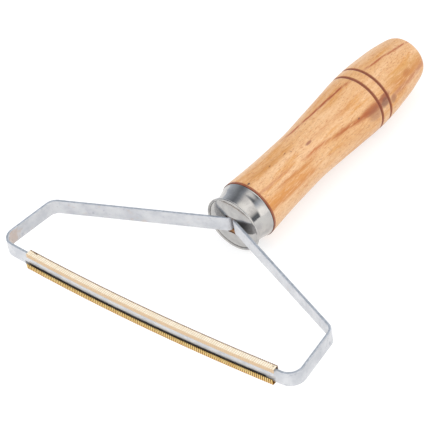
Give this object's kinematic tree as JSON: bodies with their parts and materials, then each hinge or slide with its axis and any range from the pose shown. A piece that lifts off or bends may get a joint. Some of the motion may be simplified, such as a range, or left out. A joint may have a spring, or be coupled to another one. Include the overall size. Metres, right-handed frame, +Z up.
{
  "type": "fabric shaver",
  "caption": "Hand fabric shaver with a turned wooden handle, a steel ferrule and a bent steel frame that carries ribbed brass lint blades.",
  "frame": {"origin": "on the table plane, under the middle of the tool's outline, with the handle's belly resting on the table", "axes": "+X along the blades to the right seen from behind the handle, +Y from the blades to the end of the handle, +Z up"},
  "size_m": [0.1428, 0.173, 0.0268],
  "materials": {
    "wood": "clear lacquer over turned fruitwood",
    "ferrule_steel": "polished nickel-plated steel",
    "strip_steel": "satin zinc-plated steel",
    "upper_brass": "bright pale brass",
    "lower_brass": "ribbed brass",
    "glue": "cured resin"
  },
  "bodies": {
    "root": {"handle": "wood", "ferrule": "ferrule_steel", "frame_strip": "strip_steel", "upper_blade": "upper_brass", "lower_blade": "lower_brass", "tang_glue": "glue"}
  },
  "joints": []
}
